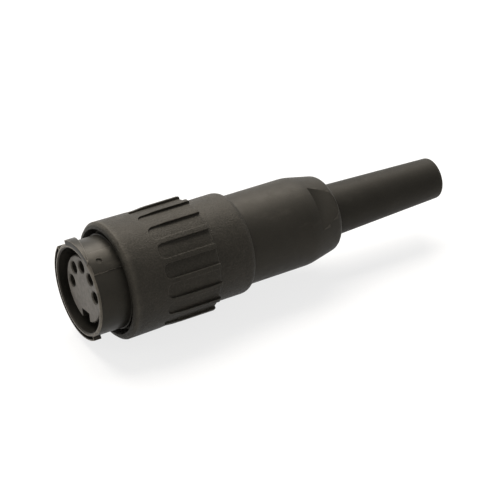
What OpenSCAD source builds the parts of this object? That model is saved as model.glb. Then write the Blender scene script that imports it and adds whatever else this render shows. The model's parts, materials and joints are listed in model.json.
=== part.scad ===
// Circular cable socket with a bayonet sleeve, a ribbed locking ring and a bend-relief boot.
// The axis lies along X: the mating face looks along -X and the cable leaves along +X.
// Each piece is drawn with its axis along Z, from the mating rim at z = 0, and is then laid down.
// Angles run about the axis, from +Y towards +Z.

/* [Bayonet sleeve] */
// Bore of the bayonet sleeve
sleeve_bore_d = 13.5; // [12.8:0.1:14.5]
// Wall of the bayonet sleeve
sleeve_wall = 0.65; // [0.5:0.05:0.9]
// Length of the sleeve that stands out of the locking ring
sleeve_reach = 4.95; // [4.4:0.05:6.5]
// Length of the sleeve that sits in the locking ring
sleeve_seat = 7.3; // [6.5:0.1:8.5]
// Height of the bayonet lugs above the sleeve
lug_height = 0.6; // [0.4:0.05:0.9]
// Thickness along the axis of the long front lug
front_lug_t = 1.05; // [0.8:0.05:1.4]
// Distance of the long front lug behind the rim
front_lug_back = 0.2; // [0.1:0.05:0.4]
// Arc of the long front lug
front_lug_arc = 151; // [120:1:170]
// Thickness of the ramped lug at its thick end
ramp_lug_t = 1.5; // [1.2:0.1:1.9]
// Thickness of the ramped lug at its thin end
ramp_lug_tip_t = 0.25; // [0.2:0.05:0.6]
// Arc of the ramped lug
ramp_lug_arc = 62; // [50:1:85]
// Height of the index panel above the sleeve
panel_height = 0.12; // [0.06:0.02:0.2]
// Arc of the index panel
panel_arc = 28; // [22:1:36]
// Diameter of the index dot
dot_d = 1.2; // [0.6:0.1:1.4]
// Depth of the index dot
dot_depth = 0.25; // [0.1:0.05:0.35]

/* [Locking ring] */
// Radial gap between the lugs and the ring's mouth
mouth_gap = 0.3; // [0.2:0.05:0.5]
// Depth of the ring's mouth
mouth_depth = 1.6; // [1.0:0.1:2.2]
// Width of the ring's front face
ring_lip = 1.08; // [0.9:0.02:1.4]
// Rounding of the ring's front edge
ring_edge = 0.4; // [0.3:0.05:0.7]
// Length of the plain collar in front of the pockets
collar_len = 6.6; // [5.5:0.05:7.5]
// Fall of the collar's radius over its length
collar_draft = 0.11; // [0.05:0.01:0.15]
// Number of grip ribs
rib_count = 18; // [12:2:24]
// Arc of one rib
rib_arc = 5; // [4:0.5:7]
// Height of the ribs above the collar
rib_stand = 0.15; // [0.1:0.01:0.3]
// Length of the ribs and pockets
rib_len = 8.55; // [7.5:0.05:10]
// Depth of the pockets below the collar
pocket_depth = 0.25; // [0.15:0.05:0.4]
// Rounding of the pockets' front corners
pocket_corner = 0.8; // [0.4:0.1:1.0]
// Length of the bare skirt behind the ribs
skirt_len = 6.8; // [6:0.05:8.5]
// Wall of the skirt
skirt_wall = 0.72; // [0.6:0.02:0.9]
// Radial gap between the skirt and the back shell
skirt_gap = 0.2; // [0.16:0.02:0.3]
// Thickness of the ring's inner web
web_t = 2.0; // [1.6:0.1:2.4]
// Turn of the ring from free to locked
lock_turn = 45; // [30:1:60]

/* [Insert and contacts] */
// Radial room for the mating shell, between the insert and the sleeve
plug_room = 1.35; // [1.25:0.05:1.4]
// Depth of that room behind the mating rim
plug_depth = 8.5; // [7.5:0.1:9.5]
// Distance of the insert's face behind the mating rim
insert_recess = 0.95; // [0.7:0.05:1.4]
// Diameter of the contact circle
contact_circle_d = 7.5; // [7.2:0.1:7.8]
// Angle between neighbouring contacts
contact_pitch = 45; // [43:1:50]
// Diameter of the holes in the insert's face
face_hole_d = 1.9; // [1.6:0.05:2.0]
// Outer diameter of a socket contact
contact_d = 2.1; // [2.0:0.05:2.2]
// Bore of a socket contact
contact_bore_d = 1.45; // [1.3:0.05:1.6]
// Length of the solder cups behind the retainer
solder_tail = 4.5; // [3:0.1:6]
// Width of the insert's keyway
keyway_w = 2.4; // [1.8:0.1:2.8]
// Depth of the insert's keyway
keyway_depth = 1.7; // [1.2:0.1:2.0]

/* [Core tube] */
// Wall of the core tube round the insert
core_wall = 1.45; // [1.42:0.01:1.5]
// Length of the insert's spigot in the core tube
spigot_len = 5.5; // [4.5:0.1:6]
// Width of the step that the contact retainer sits on
retainer_step = 0.45; // [0.3:0.05:0.5]
// Thickness of the contact retainer
retainer_t = 1.5; // [1.2:0.1:2]
// Thickness of the retaining clip
clip_t = 1.0; // [0.8:0.1:1.2]
// Height of the retaining clip above the core tube
clip_stand = 0.4; // [0.3:0.05:0.45]
// Depth of the clip's groove
clip_groove = 0.5; // [0.3:0.05:0.6]
// Room for the wave washer
spring_room = 1.5; // [1.2:0.1:1.8]
// Thickness of the wave washer
spring_t = 0.3; // [0.2:0.05:0.4]
// Thickness of the core tube's collar
core_collar_t = 2.0; // [1.5:0.1:2.5]
// Length of the core tube's rear thread
thread_len = 13.8; // [12:0.1:15]
// Fall from the bearing to the thread's crest
thread_relief = 0.15; // [0.1:0.05:0.2]

/* [Cable clamp] */
// Diameter of the cable that the boot takes
cable_d = 5.0; // [4:0.1:5.4]
// Wall of the distance sleeve
distance_wall = 0.7; // [0.5:0.05:0.8]
// Length of the clamp cage inside the core tube
cage_seat = 6.0; // [5:0.1:7]
// Length of the clamp cage's closed base
cage_base = 3.0; // [2.5:0.1:3.5]
// Radial room for the cage's fingers to flex
finger_room = 0.35; // [0.25:0.05:0.5]
// Width of the slots between the cage's fingers
finger_slot = 0.8; // [0.6:0.1:1.1]
// Distance that the clamp cone can still be drawn up
clamp_travel = 0.3; // [0.2:0.1:0.8]
// Length of the clamp cone
cone_len = 2.5; // [2:0.1:3]
// Half angle of the clamp cone
cone_angle = 24; // [18:1:28]

/* [Back shell] */
// Wall of the back shell over the thread
shell_wall = 0.72; // [0.6:0.02:0.8]
// Fall of the shell's radius from its front to its shoulder
shell_draft = 0.07; // [0.02:0.01:0.12]
// Length of the narrow bore at the shell's rear
shell_neck = 6.3; // [5.8:0.05:7.5]
// Length of the taper from the shoulder to the rear face
shell_taper = 6.15; // [5.5:0.05:7]
// Fall of the shell's radius along the taper
taper_drop = 1.0; // [0.8:0.05:1.2]
// Rounding of the shell's rear edge
shell_edge = 1.5; // [1.2:0.1:1.7]
// Size across the spanner flats
flats_across = 10.0; // [9.6:0.1:10.6]
// Length of the spanner flats
flats_len = 4.25; // [3.5:0.05:5]

/* [Boot] */
// Diameter of the boot where it leaves the shell
boot_base_d = 8.3; // [7.8:0.1:8.4]
// Diameter of the boot at its tip
boot_tip_d = 6.72; // [6.5:0.02:7.4]
// Length of the boot outside the shell
boot_len = 20.85; // [15:0.05:28]
// Rounding of the boot's tip
boot_edge = 0.6; // [0.3:0.05:0.7]
// Thickness of the boot's flange at its rim
boot_flange_t = 0.95; // [0.7:0.05:1.4]

/* [Small details] */
// Chamfer inside the sleeve's rim
rim_chamfer = 0.15; // [0.1:0.05:0.25]
// Distance of the index panel behind the rim
panel_setback = 1.5; // [1.2:0.1:1.8]
// Distance of the index dot behind the rim
dot_setback = 2.4; // [2.1:0.1:3.5]
// Number of drive keys between sleeve and ring
drive_key_count = 4; // [2:1:6]
// Width of a drive key
drive_key_w = 2.0; // [1.5:0.1:2.6]
// Height of a drive key
drive_key_h = 0.4; // [0.3:0.05:0.5]
// Length of a drive key
drive_key_len = 4.0; // [3:0.1:5]
// Distance behind the pockets' corners at which the ribs rise
rib_setback = 0.2; // [0.1:0.05:0.5]
// Rounding at the ribs' rear ends
rib_edge = 0.25; // [0.1:0.05:0.4]
// Rounding of the skirt's rear edge across its wall
skirt_edge_r = 0.62; // [0.4:0.02:0.66]
// Rounding of the skirt's rear edge along the axis
skirt_edge_len = 1.1; // [0.6:0.1:1.5]
// Height of the turning stop on the core tube
stop_h = 0.4; // [0.3:0.05:0.45]
// Arc of the turning stop
stop_arc = 20; // [14:1:30]
// Free arc beyond the turn at each end
stop_margin = 3; // [2:0.5:5]
// Radial room over the turning stop
stop_gap = 0.15; // [0.1:0.05:0.25]
// Opening of the retaining clip
clip_opening = 40; // [20:1:60]
// Number of waves in the wave washer
spring_waves = 3; // [3:1:5]
// Chamfer of the insert's face and of its holes
face_chamfer = 0.2; // [0.1:0.05:0.3]
// Thickness of the insert's wall in front of the contacts
face_wall = 1.0; // [0.7:0.1:1.3]
// Radius of the peg that carries the contact retainer
peg_r = 1.0; // [0.8:0.1:1.3]
// Width of the key on the insert's spigot
insert_key_w = 2.0; // [1.5:0.1:2.5]
// Height of a contact's flange
contact_flange_h = 0.15; // [0.1:0.01:0.18]
// Thickness of a contact's flange
contact_flange_t = 1.4; // [1:0.1:2]
// Radius of a contact's solder tail
tail_r = 0.9; // [0.8:0.05:1.0]
// Radius of the solder cup
cup_r = 0.6; // [0.5:0.05:0.7]
// Depth of the solder cup
cup_depth = 3.0; // [2:0.1:3]
// Width of the slit in a socket contact
slit_w = 0.3; // [0.2:0.05:0.4]
// Length of the slit in a socket contact
slit_len = 4.0; // [3:0.1:5]
// Radial room round the cable in the clamp cage
cage_room = 0.25; // [0.15:0.05:0.4]
// Number of slots across the clamp cage
finger_pairs = 2; // [2:1:3]
// Distance of the fingers' tips from the boot
finger_tip_gap = 0.4; // [0.3:0.05:0.7]
// Number of grip grooves in the clamp cage
grip_groove_count = 4; // [2:1:5]
// Distance between grip grooves
grip_groove_pitch = 0.9; // [0.7:0.1:1.0]
// Depth of the grip grooves
grip_groove_depth = 0.3; // [0.2:0.05:0.4]
// Blend radius at the back shell's shoulder
shoulder_blend = 8; // [4:1:12]
// Crown radius of the back shell's taper
taper_crown = 100; // [60:10:200]

/* [Clearances] */
// Radial clearance of the turning ring on the core tube
running_clearance = 0.05; // [0.03:0.01:0.08]
// Clearance between pieces that are pushed or screwed together
fit_clearance = 0.05; // [0.03:0.01:0.08]
// Gap along the axis beside the retaining clip
axial_gap = 0.15; // [0.1:0.05:0.25]

/* [Hidden] */
$fn = 96;

// Colours of the mouldings and of the plated contacts
sleeve_black = [0.14, 0.135, 0.13];
ring_black = [0.13, 0.125, 0.12];
shell_black = [0.15, 0.145, 0.14];
boot_black = [0.12, 0.12, 0.12];
insert_grey = [0.25, 0.24, 0.23];
inner_grey = [0.35, 0.35, 0.35];
spring_steel = [0.6, 0.6, 0.62];
plated_brass = [0.75, 0.72, 0.62];

// Number of contacts, each a piece of its own
contact_count = 5;

// Length that cutting shapes run past the faces they cut
over = 0.5;
// Steps round the wave washer
spring_steps = 72;
// Steps round the full circle of the taper's crown
crown_steps = 1440;

// Places round the axis: two ribs straddle the underside
rest_angle = 270;
rib_angle = rest_angle + 180 / rib_count;
front_lug_angle = 236;
ramp_lug_angle = 53;
dot_angle = 112;
panel_angle = dot_angle - panel_arc / 2;
key_angle = 260;
contact_mid_angle = key_angle - 180;
flats_angle = 139;
stop_angle = 60;
clip_angle = rest_angle + clip_opening / 2;
pocket_half_arc = (360 / rib_count - rib_arc) / 2;

// Radii, from the sleeve outwards
sleeve_bore_r = sleeve_bore_d / 2;
sleeve_r = sleeve_bore_r + sleeve_wall;
sleeve_mid_r = sleeve_r - sleeve_wall / 2;
lug_r = sleeve_r + lug_height;
drive_key_r = sleeve_r + drive_key_h;
panel_r = sleeve_r + panel_height;
mouth_r = lug_r + mouth_gap;
collar_r = mouth_r + ring_lip;
collar_rear_r = collar_r - collar_draft;
rib_r = collar_rear_r + rib_stand;
ring_bore_r = sleeve_r + fit_clearance;
mouth_floor_r = (mouth_r + ring_bore_r) / 2;

// Radii, from the sleeve inwards
core_r = sleeve_bore_r - running_clearance;
web_bore_r = core_r + running_clearance;
insert_r = sleeve_bore_r - plug_room;
spigot_bore_r = core_r - core_wall;
spigot_r = spigot_bore_r - fit_clearance;
rear_bore_r = spigot_bore_r + retainer_step;
rear_plug_r = rear_bore_r - fit_clearance;
insert_key_r = (spigot_bore_r + rear_bore_r) / 2;
clip_r = core_r + clip_stand;
groove_r = core_r - clip_groove;
stop_r = core_r + stop_h;
thread_r = core_r - thread_relief;

// Radii of the back shell, the skirt over it and the boot inside it
shell_bore_r = thread_r + fit_clearance;
shell_r = shell_bore_r + shell_wall;
shoulder_r = shell_r - shell_draft;
taper_r = shoulder_r - taper_drop;
skirt_bore_r = shell_r + skirt_gap;
skirt_r = skirt_bore_r + skirt_wall;
pocket_floor_r = collar_rear_r - pocket_depth;
boot_r = boot_base_d / 2;
boot_tip_r = boot_tip_d / 2;
boot_flange_r = shell_bore_r - finger_room;
neck_bore_r = boot_r + fit_clearance;
cable_r = cable_d / 2;
cage_bore_r = cable_r + cage_room;
finger_r = rear_bore_r - finger_room;
contact_r = contact_d / 2;
contact_flange_r = contact_r + contact_flange_h;

// Places along the axis of the ring and of what holds it
ring_front = sleeve_reach;
mouth_floor = ring_front + mouth_depth;
grip_front = ring_front + collar_len;
grip_rear = grip_front + rib_len;
corner_z = grip_front + pocket_corner;
rib_front = corner_z + rib_setback;
ring_rear = grip_rear + skirt_len;
sleeve_rear = ring_front + sleeve_seat;
clip_front = sleeve_rear + axial_gap;
clip_rear = clip_front + clip_t;
web_front = clip_rear + axial_gap;
web_rear = web_front + web_t;
core_collar_front = web_rear + spring_room;
core_collar_rear = core_collar_front + core_collar_t;

// Places along the axis of the insert, the cable clamp and the shell
insert_front = insert_recess;
core_front = plug_depth;
core_step = core_front + spigot_len;
retainer_rear = core_step + retainer_t;
chamber_front = insert_front + face_wall;
contact_front = chamber_front + fit_clearance;
contact_flange_front = core_step - contact_flange_t;
core_rear = core_collar_rear + thread_len;
cage_front = core_rear - cage_seat;
cage_base_rear = cage_front + cage_base;
cone_front = core_rear + clamp_travel;
cone_rear = cone_front + cone_len;
finger_tip = cone_rear - finger_tip_gap;
flange_rim = cone_rear + boot_flange_t;
flange_rear = flange_rim + boot_flange_r - boot_r;
seat_rear = flange_rear + fit_clearance;
seat_front = seat_rear - (shell_bore_r - neck_bore_r);
shell_front = core_collar_rear;
shell_rear = seat_rear + shell_neck;
shoulder = shell_rear - shell_taper;
flats_front = shell_rear - flats_len;
boot_tip = shell_rear + boot_len;

// Points of an arc with radii r = [across, along] round c, from angle a0 to a1
function arc(c, r, a0, a1, steps = 8) =
    [for (i = [0:steps]) let (a = a0 + (a1 - a0) * i / steps) c + [r[0] * cos(a), r[1] * sin(a)]];

// Lays a piece drawn along Z down along X
module on_axis() {
    rotate([90, 0, 90])
        children();
}

// Tube from z0 to z1
module tube(outer_r, inner_r, z0, z1) {
    rotate_extrude()
        polygon([[inner_r, z0], [outer_r, z0], [outer_r, z1], [inner_r, z1]]);
}

// Part of a tube, from angle a over the given arc
module tube_sector(outer_r, inner_r, z0, z1, a, arc_deg) {
    rotate([0, 0, a])
        rotate_extrude(angle = arc_deg)
            polygon([[inner_r, z0], [outer_r, z0], [outer_r, z1], [inner_r, z1]]);
}

// Places its children on the axis of contact i
module at_contact(i) {
    spread = contact_pitch * (contact_count - 1);
    rotate([0, 0, contact_mid_angle - spread / 2 + contact_pitch * i])
        translate([contact_circle_d / 2, 0, 0])
            children();
}

// Lug flush with the rim, whose rear face falls away along its arc, cut by a sloping plane
module ramped_lug() {
    half_chord = (sleeve_r + lug_r) / 2 * sin(ramp_lug_arc / 2);
    slope = atan((ramp_lug_t - ramp_lug_tip_t) / (2 * half_chord));
    reach = lug_r + over;
    difference() {
        tube_sector(lug_r, sleeve_mid_r, 0, ramp_lug_t, ramp_lug_angle, ramp_lug_arc);
        rotate([0, 0, ramp_lug_angle + ramp_lug_arc / 2])
            translate([0, 0, (ramp_lug_t + ramp_lug_tip_t) / 2])
                rotate([-slope, 0, 0])
                    translate([0, -reach, 0])
                        cube([reach, 2 * reach, ramp_lug_t]);
    }
}

// Keys that lock the sleeve and the ring together, grown by gap for the slots they sit in
module drive_keys(front, gap) {
    for (i = [0:drive_key_count - 1])
        rotate([0, 0, 360 / drive_key_count * i])
            translate([sleeve_mid_r, -drive_key_w / 2 - gap, front])
                cube([drive_key_r - sleeve_mid_r + gap, drive_key_w + 2 * gap, sleeve_rear - front]);
}

module bayonet_sleeve() {
    color(sleeve_black) on_axis() difference() {
        union() {
            rotate_extrude()
                polygon([
                    [sleeve_bore_r + rim_chamfer, 0],
                    [sleeve_r, 0],
                    [sleeve_r, sleeve_rear],
                    [sleeve_bore_r, sleeve_rear],
                    [sleeve_bore_r, rim_chamfer]
                ]);
            tube_sector(lug_r, sleeve_mid_r, front_lug_back, front_lug_back + front_lug_t,
                front_lug_angle, front_lug_arc);
            ramped_lug();
            tube_sector(panel_r, sleeve_mid_r, panel_setback, mouth_floor - axial_gap,
                panel_angle, panel_arc);
            drive_keys(sleeve_rear - drive_key_len, 0);
        }
        rotate([0, 0, dot_angle])
            translate([panel_r - dot_depth, 0, dot_setback])
                rotate([0, 90, 0])
                    cylinder(d = dot_d, h = dot_depth + over);
    }
}

// One grip pocket: straight sides, round front corners and a floor that is rounded off at the rear
module grip_pocket() {
    half_w = collar_rear_r * sin(pocket_half_arc);
    corner = [pocket_corner, pocket_corner];
    inner = (skirt_r + pocket_floor_r) / 2;
    difference() {
        translate([inner, 0, 0])
            rotate([90, 0, 90])
                linear_extrude(rib_r + over - inner)
                    polygon(concat(
                        [[half_w, grip_rear + over], [-half_w, grip_rear + over]],
                        arc([pocket_corner - half_w, corner_z], corner, 180, 270),
                        arc([half_w - pocket_corner, corner_z], corner, 270, 360)
                    ));
        rotate_extrude()
            polygon(concat(
                [[0, ring_front], [pocket_floor_r, ring_front]],
                arc([pocket_floor_r - rib_edge, grip_rear - rib_edge], [rib_edge, rib_edge], 0, 90, 4),
                [[0, grip_rear]]
            ));
    }
}

module locking_ring() {
    pocket_pitch = 360 / rib_count;
    color(ring_black) on_axis() difference() {
        rotate_extrude()
            polygon(concat(
                [[mouth_floor_r, mouth_floor], [mouth_r, ring_front]],
                arc([collar_r - ring_edge, ring_front + ring_edge], [ring_edge, ring_edge], -90, 0),
                [[collar_rear_r, rib_front], [rib_r, rib_front + rib_stand]],
                arc([rib_r - rib_edge, grip_rear - rib_edge], [rib_edge, rib_edge], 0, 90, 4),
                [[skirt_r, grip_rear]],
                arc([skirt_r - skirt_edge_r, ring_rear - skirt_edge_len],
                    [skirt_edge_r, skirt_edge_len], 0, 90),
                [
                    [skirt_bore_r, ring_rear],
                    [skirt_bore_r, web_rear],
                    [web_bore_r, web_rear],
                    [web_bore_r, web_front],
                    [ring_bore_r, web_front],
                    [ring_bore_r, mouth_floor]
                ]
            ));
        for (i = [0:rib_count - 1])
            rotate([0, 0, rib_angle + pocket_pitch * (i + 0.5)])
                grip_pocket();
        drive_keys(mouth_floor - over, fit_clearance);
        tube_sector(stop_r + stop_gap, core_r - over, web_front - over, web_rear + over,
            stop_angle - stop_margin - lock_turn, stop_arc + 2 * stop_margin + lock_turn);
    }
}

module retaining_clip() {
    color(spring_steel) on_axis()
        tube_sector(clip_r, groove_r + fit_clearance, clip_front, clip_rear,
            clip_angle, 360 - clip_opening);
}

// Wave washer: one band of rings whose height follows a cosine round the axis
module spring_washer() {
    inner_r = core_r + fit_clearance;
    outer_r = shell_r - fit_clearance;
    middle = (web_rear + core_collar_front) / 2;
    wave = (spring_room - spring_t) / 2 - fit_clearance;
    function ring_point(r, a, side) = [
        r * cos(a), r * sin(a), middle + wave * cos(spring_waves * a) + side * spring_t / 2
    ];
    points = [
        for (i = [0:spring_steps - 1])
            let (a = 360 / spring_steps * i)
                each [
                    ring_point(inner_r, a, -1), ring_point(outer_r, a, -1),
                    ring_point(outer_r, a, 1), ring_point(inner_r, a, 1)
                ]
    ];
    faces = [
        for (i = [0:spring_steps - 1])
            for (k = [0:3])
                let (here = 4 * i, next = 4 * ((i + 1) % spring_steps), m = (k + 1) % 4)
                    [here + k, here + m, next + m, next + k]
    ];
    color(spring_steel) on_axis()
        polyhedron(points, faces);
}

module core_tube() {
    color(inner_grey) on_axis() difference() {
        union() {
            rotate_extrude()
                polygon([
                    [spigot_bore_r, core_front],
                    [core_r, core_front],
                    [core_r, clip_front - fit_clearance],
                    [groove_r, clip_front - fit_clearance],
                    [groove_r, clip_rear + fit_clearance],
                    [core_r, clip_rear + fit_clearance],
                    [core_r, core_collar_front],
                    [shell_r, core_collar_front],
                    [shell_r, core_collar_rear],
                    [thread_r, core_collar_rear],
                    [thread_r, core_rear],
                    [rear_bore_r, core_rear],
                    [rear_bore_r, core_step],
                    [spigot_bore_r, core_step]
                ]);
            tube_sector(stop_r, groove_r, web_front, web_rear, stop_angle, stop_arc);
        }
        insert_key(core_front - over, core_step + over, fit_clearance);
    }
}

// Key that stops the insert turning in the core tube, grown by gap for its slot
module insert_key(front, rear, gap) {
    half_arc = asin((insert_key_w / 2 + gap) / spigot_r);
    tube_sector(insert_key_r + gap, spigot_r - over, front, rear, key_angle - half_arc, 2 * half_arc);
}

module contact_insert() {
    color(insert_grey) on_axis() difference() {
        union() {
            rotate_extrude()
                polygon([
                    [0, insert_front],
                    [insert_r - face_chamfer, insert_front],
                    [insert_r, insert_front + face_chamfer],
                    [insert_r, core_front],
                    [spigot_r, core_front],
                    [spigot_r, core_step],
                    [peg_r, core_step],
                    [peg_r, retainer_rear],
                    [0, retainer_rear]
                ]);
            insert_key(core_front + fit_clearance, core_step, 0);
        }
        for (i = [0:contact_count - 1])
            at_contact(i)
                rotate_extrude()
                    polygon([
                        [0, insert_front - over],
                        [face_hole_d / 2 + face_chamfer + over, insert_front - over],
                        [face_hole_d / 2, insert_front + face_chamfer],
                        [face_hole_d / 2, chamber_front],
                        [contact_r + fit_clearance, chamber_front],
                        [contact_r + fit_clearance, contact_flange_front - fit_clearance],
                        [contact_flange_r + fit_clearance, contact_flange_front - fit_clearance],
                        [contact_flange_r + fit_clearance, core_step + over],
                        [0, core_step + over]
                    ]);
        rotate([0, 0, key_angle])
            translate([insert_r - keyway_depth, -keyway_w / 2, insert_front - over])
                cube([keyway_depth + over, keyway_w, core_front - insert_front]);
    }
}

// Socket contact i: a slit spring socket, a flange and a solder cup open to the outside
module contact(i) {
    tail_rear = retainer_rear + solder_tail;
    color(plated_brass) on_axis() at_contact(i) difference() {
        rotate_extrude()
            polygon([
                [contact_bore_d / 2, contact_front],
                [contact_r, contact_front],
                [contact_r, contact_flange_front],
                [contact_flange_r, contact_flange_front],
                [contact_flange_r, core_step],
                [tail_r, core_step],
                [tail_r, tail_rear],
                [cup_r, tail_rear],
                [cup_r, tail_rear - cup_depth],
                [0, tail_rear - cup_depth],
                [0, contact_flange_front],
                [contact_bore_d / 2, contact_flange_front]
            ]);
        translate([-contact_r - over, -slit_w / 2, contact_front - over])
            cube([2 * contact_r + 2 * over, slit_w, slit_len + over]);
        translate([0, -tail_r - over, tail_rear - cup_depth])
            cube([tail_r + over, 2 * tail_r + 2 * over, cup_depth + over]);
    }
}

module contact_retainer() {
    color(inner_grey) on_axis() difference() {
        tube(rear_plug_r, peg_r + fit_clearance, core_step, retainer_rear);
        for (i = [0:contact_count - 1])
            at_contact(i)
                translate([0, 0, core_step - over])
                    cylinder(r = tail_r + fit_clearance, h = retainer_t + 2 * over);
    }
}

module distance_sleeve() {
    color(inner_grey) on_axis()
        tube(rear_plug_r, rear_plug_r - distance_wall, retainer_rear, cage_front);
}

module clamp_cage() {
    color(inner_grey) on_axis() difference() {
        rotate_extrude()
            polygon([
                [cage_bore_r, cage_front],
                [rear_plug_r, cage_front],
                [rear_plug_r, cage_base_rear],
                [finger_r, cage_base_rear],
                [finger_r, cone_front],
                [finger_r - (finger_tip - cone_front) * tan(cone_angle), finger_tip],
                [cage_bore_r, finger_tip]
            ]);
        for (i = [0:finger_pairs - 1])
            rotate([0, 0, 180 / finger_pairs * i])
                translate([-finger_r - over, -finger_slot / 2, cage_base_rear])
                    cube([2 * finger_r + 2 * over, finger_slot, finger_tip - cage_base_rear + over]);
        for (i = [1:grip_groove_count])
            translate([0, 0, finger_tip - grip_groove_pitch * i])
                rotate_extrude()
                    polygon([
                        [cage_bore_r - over, -grip_groove_pitch / 2],
                        [cage_bore_r, -grip_groove_pitch / 2],
                        [cage_bore_r + grip_groove_depth, 0],
                        [cage_bore_r, grip_groove_pitch / 4],
                        [cage_bore_r - over, grip_groove_pitch / 4]
                    ]);
    }
}

module clamp_cone() {
    mouth = finger_r + fit_clearance;
    color(inner_grey) on_axis()
        rotate_extrude()
            polygon([
                [mouth, cone_front],
                [shell_bore_r - fit_clearance, cone_front],
                [shell_bore_r - fit_clearance, cone_rear],
                [mouth - cone_len * tan(cone_angle), cone_rear]
            ]);
}

// Section of the back shell's outside, filled to the axis: a crowned taper that rolls into the rear face
module shell_section() {
    taper_angle = atan(taper_drop / (shell_taper - shell_edge));
    blend_back = shoulder_blend * tan(taper_angle / 2);
    start = [shoulder_r, shoulder] + blend_back * [-sin(taper_angle), cos(taper_angle)];
    end = [taper_r, shell_rear - shell_edge];
    sink = sqrt(pow(taper_crown, 2) - pow(norm(end - start) / 2, 2));
    crown = (start + end) / 2 - sink * [cos(taper_angle), sin(taper_angle)];
    edge_z = shell_rear - shell_edge;
    edge = [crown[0] + sqrt(pow(taper_crown - shell_edge, 2) - pow(edge_z - crown[1], 2)), edge_z];
    roll_z = crown[1] + (edge_z - crown[1]) * taper_crown / (taper_crown - shell_edge);
    polygon(concat(
        [[0, shell_front], [shell_r, shell_front]],
        arc([shoulder_r - shoulder_blend, shoulder - blend_back], [shoulder_blend, shoulder_blend],
            0, taper_angle, 4),
        [[0, start[1]]]
    ));
    intersection() {
        translate(crown)
            circle(r = taper_crown, $fn = crown_steps);
        translate([0, start[1]])
            square([shell_r, roll_z - start[1]]);
    }
    intersection() {
        translate(edge)
            circle(r = shell_edge);
        translate([edge[0], roll_z])
            square([shell_edge, shell_edge]);
    }
    translate([0, roll_z])
        square([edge[0], shell_rear - roll_z]);
}

module back_shell() {
    reach = shell_r + over;
    color(shell_black) on_axis() difference() {
        rotate_extrude()
            shell_section();
        rotate_extrude()
            polygon([
                [0, shell_front - over],
                [shell_bore_r, shell_front - over],
                [shell_bore_r, seat_front],
                [neck_bore_r, seat_rear],
                [neck_bore_r, shell_rear + over],
                [0, shell_rear + over]
            ]);
        for (side = [0, 180])
            rotate([0, 0, flats_angle + side])
                translate([flats_across / 2, -reach, flats_front])
                    cube([reach, 2 * reach, flats_len + over]);
    }
}

module boot() {
    color(boot_black) on_axis()
        rotate_extrude()
            polygon(concat(
                [
                    [cable_r, cone_rear],
                    [boot_flange_r, cone_rear],
                    [boot_flange_r, flange_rim],
                    [boot_r, flange_rear],
                    [boot_r, shell_rear]
                ],
                arc([boot_tip_r - boot_edge, boot_tip - boot_edge], [boot_edge, boot_edge], 0, 90),
                [[cable_r, boot_tip]]
            ));
}

bayonet_sleeve();
locking_ring();
retaining_clip();
spring_washer();
core_tube();
contact_insert();
contact(0);  // contact_1
contact(1);  // contact_2
contact(2);  // contact_3
contact(3);  // contact_4
contact(4);  // contact_5
contact_retainer();
distance_sleeve();
clamp_cage();
clamp_cone();
back_shell();
boot();
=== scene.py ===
"""Looks of a circular cable socket with a bayonet sleeve, a ribbed locking ring and a bend-relief boot."""

import json
import logging
import math
from dataclasses import dataclass
from enum import Enum

import bmesh
import bpy
from mathutils import Matrix, Vector

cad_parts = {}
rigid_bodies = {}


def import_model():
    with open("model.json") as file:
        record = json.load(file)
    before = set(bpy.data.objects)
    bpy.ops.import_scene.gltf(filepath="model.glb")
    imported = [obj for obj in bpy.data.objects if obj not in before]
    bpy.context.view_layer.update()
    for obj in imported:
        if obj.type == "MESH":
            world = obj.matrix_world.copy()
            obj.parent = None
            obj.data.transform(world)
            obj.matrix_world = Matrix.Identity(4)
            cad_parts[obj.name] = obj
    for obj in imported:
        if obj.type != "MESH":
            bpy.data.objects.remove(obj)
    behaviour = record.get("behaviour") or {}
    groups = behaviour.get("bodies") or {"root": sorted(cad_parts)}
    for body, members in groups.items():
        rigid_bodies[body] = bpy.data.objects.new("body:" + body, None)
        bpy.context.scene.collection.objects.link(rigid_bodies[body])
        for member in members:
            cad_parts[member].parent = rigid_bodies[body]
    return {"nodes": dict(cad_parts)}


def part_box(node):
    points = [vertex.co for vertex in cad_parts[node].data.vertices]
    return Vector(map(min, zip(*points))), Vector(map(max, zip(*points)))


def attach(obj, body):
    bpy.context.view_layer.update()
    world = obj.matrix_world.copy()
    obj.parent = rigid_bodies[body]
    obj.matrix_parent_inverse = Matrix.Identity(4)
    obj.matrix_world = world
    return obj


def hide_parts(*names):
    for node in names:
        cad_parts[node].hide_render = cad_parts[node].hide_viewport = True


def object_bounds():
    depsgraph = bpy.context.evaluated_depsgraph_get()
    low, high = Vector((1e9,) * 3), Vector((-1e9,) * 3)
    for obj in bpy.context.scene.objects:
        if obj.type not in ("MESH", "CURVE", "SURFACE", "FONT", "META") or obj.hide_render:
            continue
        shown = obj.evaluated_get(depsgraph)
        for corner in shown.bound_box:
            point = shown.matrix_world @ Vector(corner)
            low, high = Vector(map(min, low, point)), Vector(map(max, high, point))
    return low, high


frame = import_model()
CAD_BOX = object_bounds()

LOG = logging.getLogger("cable_socket")
# Sizes are in millimetres and angles in degrees, where no name or docstring says otherwise.
MM = 0.001
MERGE_M = 1e-6
ON_PLANE = 0.001
# Attribute of faces and points rubbed bare; on the insert's front face and the sleeve's rim and lug edges it
# also carries painted light.
WEAR_AND_LIGHT = "wear_and_painted_light"
NARROW_FACE_WIDTH = 0.22
EDGE_TURN_RAD = 0.12
WHITE = (1.0, 1.0, 1.0, 1.0)
Colour = tuple[float, float, float]
Point = tuple[float, float]
Corner = tuple[float, float, float]
Wire = tuple[bpy.types.NodeSocket, bpy.types.NodeSocket]


class Body(Enum):
    """The two bodies of the connector that turn against each other."""

    FIXED = "connector_body"
    TURNING = "coupling"


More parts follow.
